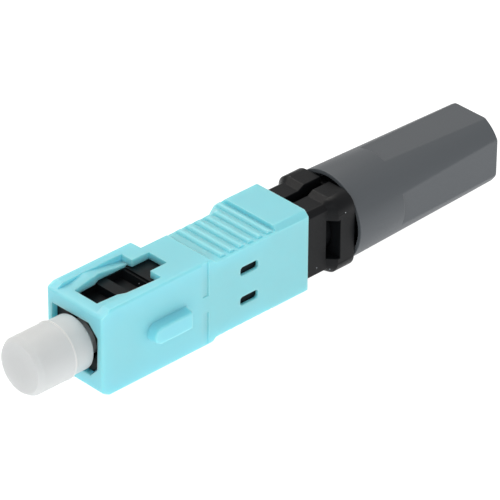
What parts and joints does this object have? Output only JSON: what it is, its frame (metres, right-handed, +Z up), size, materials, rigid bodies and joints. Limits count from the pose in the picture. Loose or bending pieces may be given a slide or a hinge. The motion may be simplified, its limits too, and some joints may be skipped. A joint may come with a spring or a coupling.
{
  "type": "fibre optic sc connector",
  "caption": "Field-assembled SC fibre plug with an aqua push-pull grip, a black frame and rear body, a grey screw-on tail nut and a frosted dust cap over the ferrule.",
  "frame": {"origin": "on the ferrule axis, in the plane of the grip's front face", "axes": "+X rearward along the ferrule axis towards the cable, -Y the key side, +Z up"},
  "size_m": [0.0572, 0.0094, 0.0092],
  "materials": {
    "aqua_plastic": "satin",
    "black_plastic": "satin",
    "grey_plastic": "satin",
    "frosted_plastic": "frosted",
    "white_ceramic": "polished",
    "steel": "bright",
    "silica": "clear",
    "splice_polymer": "satin"
  },
  "bodies": {
    "core": {"plug_frame": "black_plastic", "rear_body": "black_plastic", "fibre_guide": "black_plastic", "ferrule_spring": "steel"},
    "grip": {"grip_housing": "aqua_plastic"},
    "cap": {"dust_cap": "frosted_plastic"},
    "ferrule_unit": {"ferrule": "white_ceramic", "ferrule_flange": "steel", "fibre_stub": "silica", "splice_base": "splice_polymer", "splice_lid_front": "splice_polymer", "splice_lid_rear": "splice_polymer", "splice_clamp": "steel"},
    "lock": {"lock_sleeve": "black_plastic"},
    "collet": {"cable_collet": "black_plastic"},
    "nut": {"tail_nut": "grey_plastic"}
  },
  "joints": [
    {"name": "grip_slide", "type": "slide", "parent": "core", "child": "grip", "axis": [1, 0, 0], "range_m": [0, 0.0012]},
    {"name": "cap_slide", "type": "slide", "parent": "core", "child": "cap", "axis": [-1, 0, 0], "range_m": [0, 0.012]},
    {"name": "ferrule_float", "type": "slide", "parent": "core", "child": "ferrule_unit", "axis": [1, 0, 0], "range_m": [0, 0.0006], "stiffness_N_per_m": 1500, "deforming": ["ferrule_spring"]},
    {"name": "lock_slide", "type": "slide", "parent": "core", "child": "lock", "axis": [-1, 0, 0], "range_m": [0, 0.002]},
    {"name": "collet_slide", "type": "slide", "parent": "core", "child": "collet", "axis": [1, 0, 0], "range_m": [0, 0.004]},
    {"name": "nut_turn", "type": "hinge", "parent": "collet", "child": "nut", "pos_m": [0.04, 0, 0], "axis": [1, 0, 0], "range_deg": [0, 1440]}
  ],
  "couplings": [
    {"joint": "nut_turn", "follows": "collet_slide", "rad_per_m": 6283.2}
  ]
}
